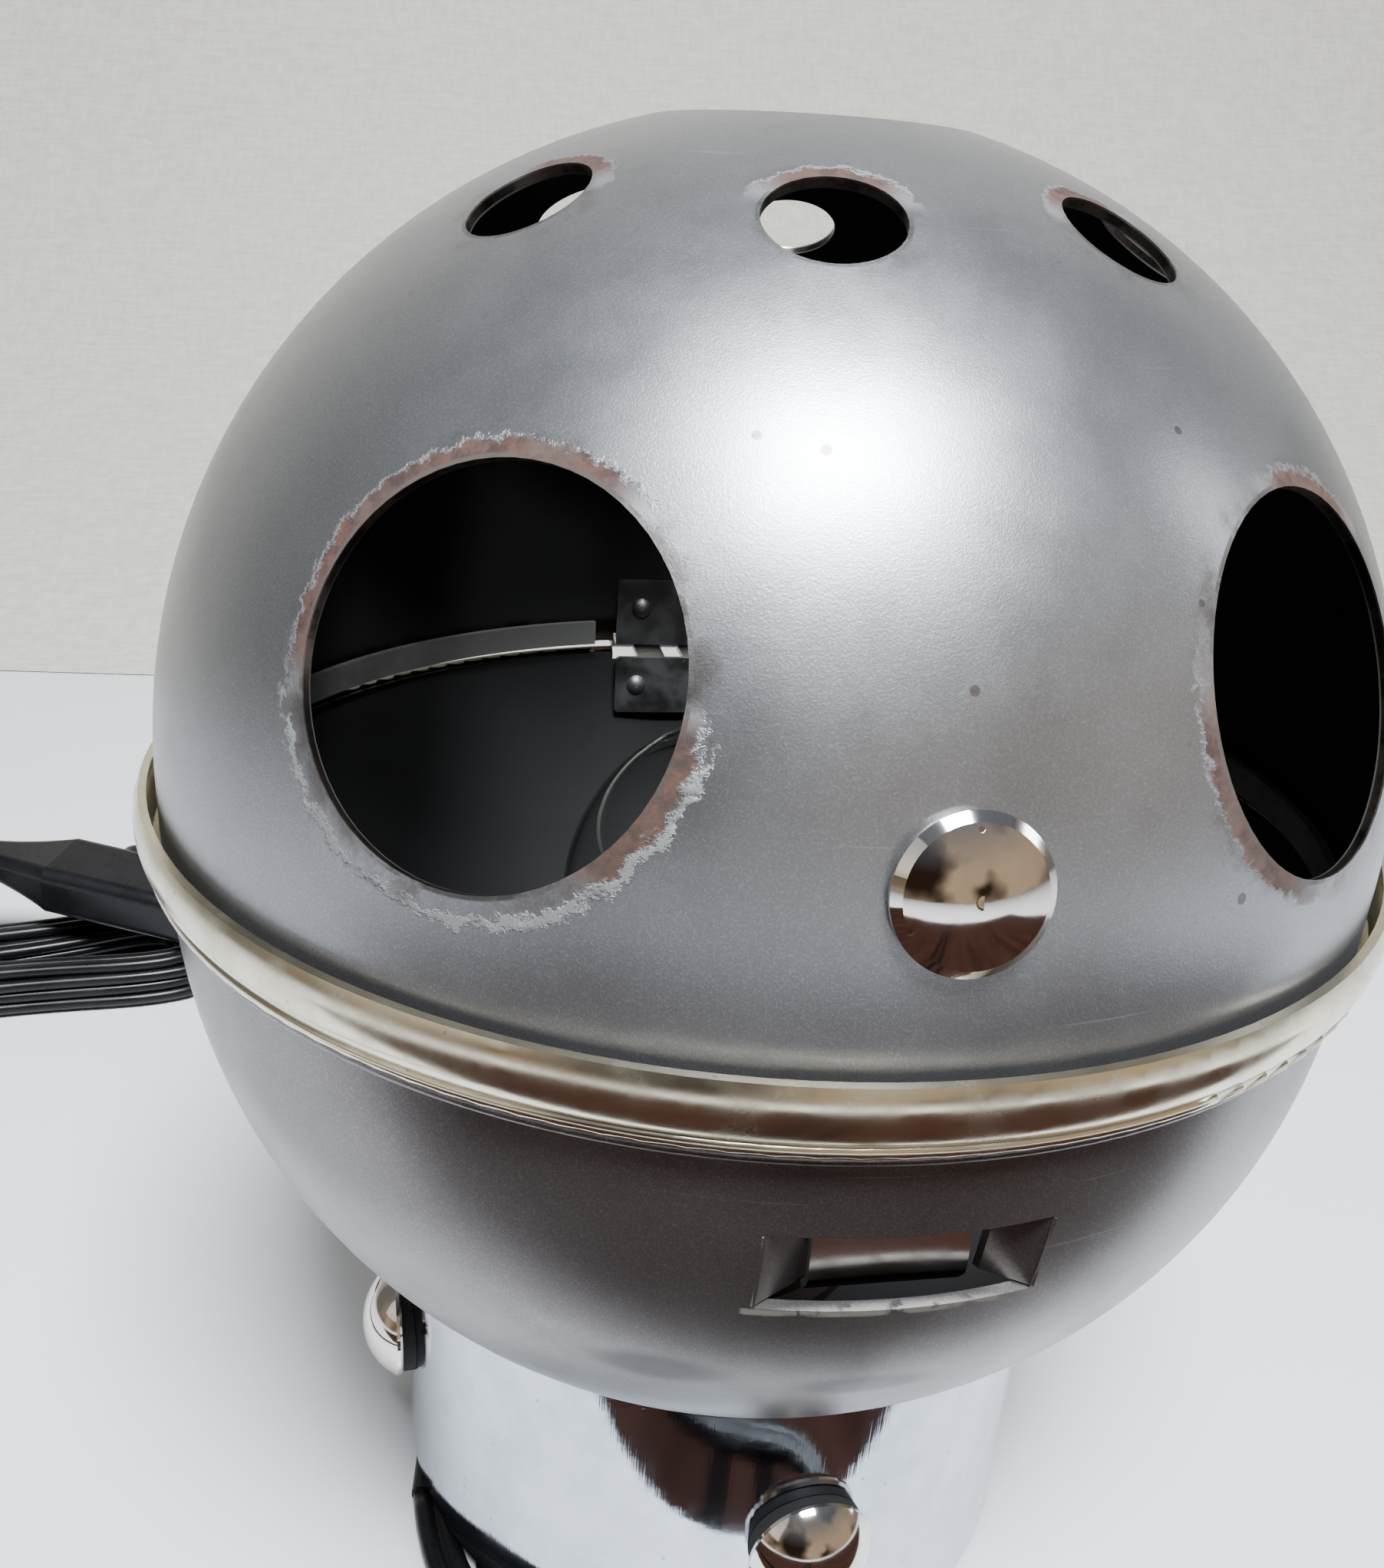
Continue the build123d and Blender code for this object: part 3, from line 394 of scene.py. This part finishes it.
wall_paper = Shader("wall_paper")
thread = wall_paper.noise(1.0, 3, 0.6, (60, 420, 420))
weft = wall_paper.noise(1.0, 3, 0.6, (340, 110, 110), 3.0)
weave = wall_paper.math("ADD", thread, weft)
wall_paper.set(
    Base_Color=wall_paper.mix(wall_paper.ramp(weave, 0.7, 1.3), (0.43, 0.41, 0.355), (0.52, 0.50, 0.44)),
    Roughness=0.85,
    Normal=wall_paper.bump(weave, 0.0007, 0.6),
)
dress(wall_paper, wall)


def lamp(name, at, aim, width, height, watts, colour):
    """A rectangular soft light at a point, turned towards another."""
    data = bpy.data.lights.new(name, "AREA")
    data.shape = "RECTANGLE"
    data.size, data.size_y = width, height
    data.energy = watts
    data.color = colour
    thing = bpy.data.objects.new(name, data)
    thing.location = at
    thing.rotation_euler = (Vector(aim) - Vector(at)).to_track_quat("-Z", "Y").to_euler()
    bpy.context.scene.collection.objects.link(thing)
    return thing


ball_mid = Vector((0, 0, 0.10))
toward = Vector((0.019, -0.44, 0.898)).normalized()
lamp("window", ball_mid + toward * 1.0, ball_mid, 0.40, 0.30, 52.0, (0.90, 0.95, 1.0))
lamp("fill_left", (-1.1, -0.5, 0.75), ball_mid, 0.9, 0.9, 1.5, (0.95, 0.97, 1.0))
lamp("fill_right", (1.2, -0.1, 0.6), ball_mid, 0.10, 0.7, 3.0, (0.90, 0.95, 1.0))

sky = bpy.data.worlds.new("room")
bpy.context.scene.world = sky
sky.use_nodes = True
tree = sky.node_tree
backing = tree.nodes["Background"]
backing.inputs["Strength"].default_value = 1.0


def air(kind, **inputs):
    """A node of the room's tree, its inputs wired or set by name or number."""
    node = tree.nodes.new(kind)
    for key, value in inputs.items():
        numbered = key[0] == "n" and key[1:].isdigit()
        socket = node.inputs[int(key[1:]) if numbered else key.replace("_", " ")]
        if isinstance(value, bpy.types.NodeSocket):
            tree.links.new(value, socket)
        else:
            socket.default_value = value
    return node


way = air("ShaderNodeSeparateXYZ", n0=air("ShaderNodeTexCoord").outputs["Generated"])
looking = way.inputs[0].links[0].from_socket
blotch = air("ShaderNodeTexNoise", Vector=looking, Scale=1.9, Detail=2.0)
facing = air("ShaderNodeVectorMath", n0=looking, n1=(-0.42, -0.86, 0.29))
facing.operation = "DOT_PRODUCT"
person = air("ShaderNodeMapRange", Value=facing.outputs["Value"], From_Min=0.97, From_Max=0.90)
front = air("ShaderNodeMapRange", Value=way.outputs["Y"], From_Min=0.15, From_Max=-0.45)
lifted = air("ShaderNodeMapRange", Value=way.outputs["Z"], From_Min=0.25, From_Max=0.85)
clump = air("ShaderNodeMapRange", Value=blotch.outputs["Fac"], From_Min=0.36, From_Max=0.52)
lit = air("ShaderNodeMath", n0=clump.outputs[0], n1=person.outputs[0])
lit.operation = "MULTIPLY"
room = air("ShaderNodeMix")
room.data_type = "RGBA"
tree.links.new(lit.outputs[0], room.inputs["Factor"])
room.inputs["A"].default_value = (0.030, 0.017, 0.012, 1)
room.inputs["B"].default_value = (0.60, 0.46, 0.32, 1)
side = air("ShaderNodeMix")
side.data_type = "RGBA"
tree.links.new(front.outputs[0], side.inputs["Factor"])
side.inputs["A"].default_value = (0.20, 0.19, 0.17, 1)
tree.links.new(room.outputs["Result"], side.inputs["B"])
over = air("ShaderNodeMix")
over.data_type = "RGBA"
tree.links.new(lifted.outputs[0], over.inputs["Factor"])
tree.links.new(side.outputs["Result"], over.inputs["A"])
over.inputs["B"].default_value = (0.17, 0.19, 0.23, 1)
tree.links.new(over.outputs["Result"], backing.inputs["Color"])


# ---- materials ------------------------------------------------------------------------------------


def rim_distance(s, centre, axis):
    """A point's distance from a hole's axis, its upward and rightward parts round it, and 1 on the hole's side."""
    out = s.vector("SUBTRACT", s.place, centre)
    ahead = s.vector("DOT_PRODUCT", out, axis)
    away = s.vector("LENGTH", s.vector("CROSS_PRODUCT", out, axis))
    sideways = Vector((-axis.y, axis.x, 0)).normalized()
    upward = axis.cross(sideways)
    if upward.z < 0:
        upward = -upward
    high = s.math("DIVIDE", s.vector("DOT_PRODUCT", out, upward), away)
    across = s.math("DIVIDE", s.vector("DOT_PRODUCT", out, sideways), away)
    front = s.math("GREATER_THAN", ahead, 0.0)
    return away, high, across, front


def silver(name, centre_z, radius, tint, rims, slot=False):
    """Satin silver paint outside, dark cut edges, wear round the openings, and painted shade inside: the inner face is
    coloured dark grey for the shade inside the ball.

    Each rim is its hole's axis and radius, the way that its rust lies as (upward, rightward) parts, the
    range of that way over which the rust sets in, and whether old glue sits on its lower side.
    """
    s = Shader(name)
    centre = Vector((0, 0, centre_z))
    depth = s.math("SUBTRACT", s.vector("LENGTH", s.vector("SUBTRACT", s.place, centre)), radius)
    outside = s.ramp(depth, -0.00022, -0.00012)
    # inside is the inner face's mask; it carries the painted shade that is set further down
    inside = s.ramp(depth, -0.00080, -0.00092)
    cloud = s.noise(16, 4, 0.6)
    fine = s.noise(170, 5, 0.65, shift=1.3)
    flake = s.noise(5200, 2, 0.7)
    colour = s.mix(s.ramp(cloud, 0.32, 0.68), tint, tuple(c * 0.86 for c in tint))
    colour = s.mix(s.ramp(fine, 0.56, 0.74, 0.0, 0.22), colour, tuple(c * 0.62 for c in tint))
    colour = s.mix(s.ramp(flake, 0.45, 0.75, 0.0, 0.14), colour, (0.80, 0.81, 0.83))
    colour = s.mix(s.math("MULTIPLY", s.specks(210, 0.10, 0.90), 0.75), colour, (0.09, 0.07, 0.06))
    colour = s.mix(s.math("MULTIPLY", s.specks(520, 0.16, 0.93), 0.35), colour, (0.20, 0.18, 0.17))
    rough = s.ramp(s.noise(55, 5, 0.6, shift=2.0), 0.35, 0.7, 0.29, 0.37)
    metallic = 0.90
    height = s.math("MULTIPLY", flake, 0.35)
    scratch = s.ramp(s.noise(1.0, 2, 0.5, (30, 30, 1500), 5.0), 0.74, 0.78)
    colour = s.mix(s.math("MULTIPLY", scratch, 0.18), colour, (0.72, 0.72, 0.72))
    worn = 0.0
    for axis, hole, rust_way, rust_low, rust_high, glue in rims:
        away, high, across, front = rim_distance(s, centre, axis)
        ragged = s.math("ADD", away, s.ramp(s.noise(520, 5, 0.75, shift=4.0), 0.25, 0.75, -0.0007, 0.0007))
        way = s.math("ADD", s.math("MULTIPLY", high, rust_way[0]), s.math("MULTIPLY", across, rust_way[1]))
        gate = s.math("MULTIPLY", s.ramp(way, rust_low, rust_high), front)
        band = s.math("MULTIPLY", s.ramp(ragged, hole + 0.0019, hole + 0.0012), gate)
        brown = s.mix(s.ramp(s.noise(700, 4, 0.7), 0.35, 0.65), RUST_DARK, RUST_LIGHT)
        colour = s.mix(s.math("MULTIPLY", band, 0.92), colour, brown)
        dirt = s.math("MULTIPLY", s.ramp(ragged, hole + 0.0032, hole + 0.0004, 0.0, 0.45), front)
        colour = s.mix(s.math("MULTIPLY", dirt, s.ramp(fine, 0.42, 0.66)), colour, (0.075, 0.058, 0.048))
        bare = s.math("MULTIPLY", s.ramp(away, hole + 0.00045, hole + 0.00025), front)
        chipped = s.math("MULTIPLY", bare, s.ramp(fine, 0.55, 0.45, 0.0, 0.6))
        colour = s.mix(chipped, colour, (0.055, 0.050, 0.045))
        worn = s.math("MAXIMUM", worn, band)
        height = s.math("SUBTRACT", height, s.math("MULTIPLY", band, 2.2))
        if glue:
            ring = s.math("ABSOLUTE", s.math("SUBTRACT", ragged, hole + 0.0021))
            low_side = s.math("MULTIPLY", s.ramp(high, 0.05, -0.35), front)
            crust = s.math("MULTIPLY", s.ramp(ring, 0.00050, 0.00020), low_side)
            crust = s.math("MULTIPLY", crust, s.ramp(s.noise(240, 4, 0.6, shift=7.0), 0.36, 0.52))
            colour = s.mix(s.math("MULTIPLY", crust, 0.60), colour, (0.105, 0.115, 0.098))
            worn = s.math("MAXIMUM", worn, crust)
            height = s.math("ADD", height, s.math("MULTIPLY", crust, 4.5))
    if slot:
        spot = s.add("ShaderNodeSeparateXYZ")
        s.join(s.place, spot.inputs[0])
        beside = s.ramp(s.math("ABSOLUTE", spot.outputs["X"]), 0.0130, 0.0126)
        level = s.ramp(s.math("ABSOLUTE", s.math("SUBTRACT", spot.outputs["Z"], SLOT_Z)), 0.0060, 0.0056)
        recess = s.math("MULTIPLY", s.math("MULTIPLY", beside, level), s.ramp(spot.outputs["Y"], -0.0585, -0.0590))
        inside = s.math("MULTIPLY", inside, s.math("SUBTRACT", 1.0, recess))
        outside = s.math("MAXIMUM", outside, recess)
        lip = s.ramp(s.math("ABSOLUTE", s.math("SUBTRACT", spot.outputs["Z"], SLOT_Z - 0.0047)), 0.00055, 0.00025)
        lip = s.math("MULTIPLY", s.math("MULTIPLY", lip, recess), s.ramp(s.noise(330, 4, 0.7), 0.38, 0.50))
        colour = s.mix(s.math("MULTIPLY", lip, 0.8), colour, (0.22, 0.21, 0.18))
        worn = s.math("MAXIMUM", worn, lip)
        # painted reflections: two dark soft ovals darkened into the paint's colour on the front above the drum
        for middle, reach in PAINTED_REFLECTION_OVALS:
            off = s.vector("MULTIPLY", s.vector("SUBTRACT", s.place, middle), tuple(1 / r for r in reach))
            dark = s.ramp(s.vector("LENGTH", off), 1.15, 0.45)
            colour = s.mix(s.math("MULTIPLY", dark, 0.85), colour, tuple(c * 0.16 for c in tint))
    metallic = s.blend(worn, metallic, 0.0)
    rough = s.blend(worn, rough, 0.80)
    edge = s.math("SUBTRACT", 1.0, outside)
    colour = s.mix(edge, colour, s.mix(s.ramp(fine, 0.4, 0.6), (0.010, 0.006, 0.0045), (0.040, 0.033, 0.028)))
    # painted shade: the inner face gets a dark grey, non-metallic colour for the shade inside the ball, over what is
    # silver-grey paint
    colour = s.mix(inside, colour, s.mix(cloud, (0.020, 0.020, 0.0205), (0.036, 0.0355, 0.036)))
    metallic = s.blend(inside, metallic, 0.0)
    rough = s.blend(inside, rough, 0.62)
    return s.set(
        Base_Color=colour, Metallic=metallic, Roughness=rough, Specular_IOR_Level=0.10,
        Normal=s.bump(height, 0.00008, 0.55),
    )


def aim(turn, lift):
    """The unit axis of a hole of the upper shell."""
    return on_ball(turn, lift, 1.0, 0.0)


vents = [(aim(VENT_TURN + 45 * k, VENT_LIFT), VENT_R, (1.0, 0.0), 0.2, 0.9, False) for k in (0, 1, 7)]
upper_rims = [
    (aim(-EYE_TURN, EYE_LIFT), EYE_R, (0.82, -0.57), 0.25, 0.55, True),
    (aim(-EYE_TURN, EYE_LIFT), EYE_R, (-0.42, 0.91), 0.86, 0.95, False),
    (aim(EYE_TURN, EYE_LIFT), EYE_R, (-0.50, -0.86), 0.55, 0.90, False),
    (aim(EYE_TURN, EYE_LIFT), EYE_R, (0.95, 0.30), 0.80, 0.95, False),
]
dress(silver("silver_upper", UPPER_Z, UPPER_R, UPPER_SILVER, upper_rims + vents), "upper_shell")
# the lower shell takes the darker silver copy: partly painted shade
dress(silver("silver_lower_with_painted_shade", LOWER_Z, LOWER_R, LOWER_SILVER_WITH_PAINTED_SHADE, [], slot=True), "lower_shell")


def metal(name, colour, rough, pits=0.0, grain=None, scale=160):
    """Bright metal with faint haze, fine pits and, if asked, a brushed grain."""
    s = Shader(name)
    haze = s.noise(scale, 5, 0.62)
    shade = s.mix(s.ramp(haze, 0.35, 0.7), colour, tuple(c * 0.84 for c in colour))
    pit = s.specks(640, 0.15, 0.90)
    shade = s.mix(s.math("MULTIPLY", pit, pits), shade, (0.10, 0.08, 0.07))
    height = s.noise(260, 3, 0.5, shift=3.0)
    if grain:
        height = s.math("ADD", height, s.noise(1.0, 3, 0.6, grain, 1.0))
    return s.set(
        Base_Color=shade, Metallic=1.0, Roughness=s.ramp(haze, 0.3, 0.75, rough, rough * 1.9 + 0.02),
        Normal=s.bump(s.math("SUBTRACT", height, s.math("MULTIPLY", pit, pits)), 0.00006, 0.25),
    )


bolts, washers, nuts, pillars = (
    [f"{part}_{side_name}" for side_name in ("front", "right", "rear", "left")]
    for part in ("dome_bolt", "dome_washer", "dome_nut", "pillar")
)
# the ring's pale gold: partly the aluminium's own slight yellow, partly a painted reflection of a warm room put into
# its colour
dress(metal("trim_metal", (0.74, 0.68, 0.52), 0.15, 0.30), "trim_ring")
dress(metal("drum_chrome", (0.54, 0.58, 0.64), 0.04, 0.45, (2600, 2600, 60)), "base_drum")
dress(metal("bright_chrome", (0.72, 0.68, 0.63), 0.05, 0.35), "knob", *bolts)
dress(metal("spring_steel", (0.70, 0.69, 0.69), 0.12, 0.2), "catch_spring")
dress(metal("pin_nickel", (0.80, 0.77, 0.70), 0.16, 0.2), "plug_pins")
dress(metal("brass", (0.66, 0.50, 0.26), 0.28, 0.4), "holder_liner", "holder_contact")
dress(
    metal("dull_steel", (0.30, 0.30, 0.30), 0.34, 0.4, (900, 900, 90)),
    "knob_nut", "hinge_leaf_upper", "hinge_leaf_lower", "hinge_pin", "hinge_rivets_upper", "hinge_rivets_lower",
    "spider_bracket", "base_plate", "bracket_screws", "plate_screws", "nipple", "nipple_nut_lower",
    "nipple_nut_upper", "bulb_cap", *nuts, *pillars,
)


def plastic(name, colour, rough, bump, scale=700):
    """Moulded black or grey plastic or rubber: dusty in patches, with a fine texture."""
    s = Shader(name)
    dust = s.noise(90, 5, 0.62)
    dusty = tuple(min(1.0, c * 1.8 + 0.003) for c in colour)
    return s.set(
        Base_Color=s.mix(s.ramp(dust, 0.45, 0.75, 0.0, 0.5), colour, dusty),
        Roughness=s.ramp(dust, 0.3, 0.75, rough, rough + 0.14),
        Specular_IOR_Level=0.22,
        Normal=s.bump(s.noise(scale, 4, 0.6), bump, 0.5),
    )


dress(plastic("strip_grey", (0.16, 0.155, 0.15), 0.55, 0.00005), "rim_strip_left", "rim_strip_right")
dress(plastic("rubber", (0.018, 0.018, 0.018), 0.6, 0.00008), "foot_pad", *washers)
dress(plastic("bakelite", (0.020, 0.015, 0.013), 0.28, 0.00003), "lampholder", "shade_ring", "cable_clamp")
dress(plastic("plug_black", (0.004, 0.004, 0.005), 0.24, 0.00004, 260), "plug_body")
dress(
    plastic("flex_black", (0.0035, 0.0035, 0.004), 0.25, 0.00004, 300),
    flex, "strain_relief", "inner_lead", "hank_tie",
)

glass = Shader("bulb_glass")
glass.set(
    Base_Color=(0.97, 0.98, 0.98), Transmission_Weight=1.0, IOR=1.47,
    Roughness=glass.ramp(glass.noise(60, 4), 0.3, 0.8, 0.0, 0.05),
)
dress(glass, "bulb_glass", "bulb_stem")
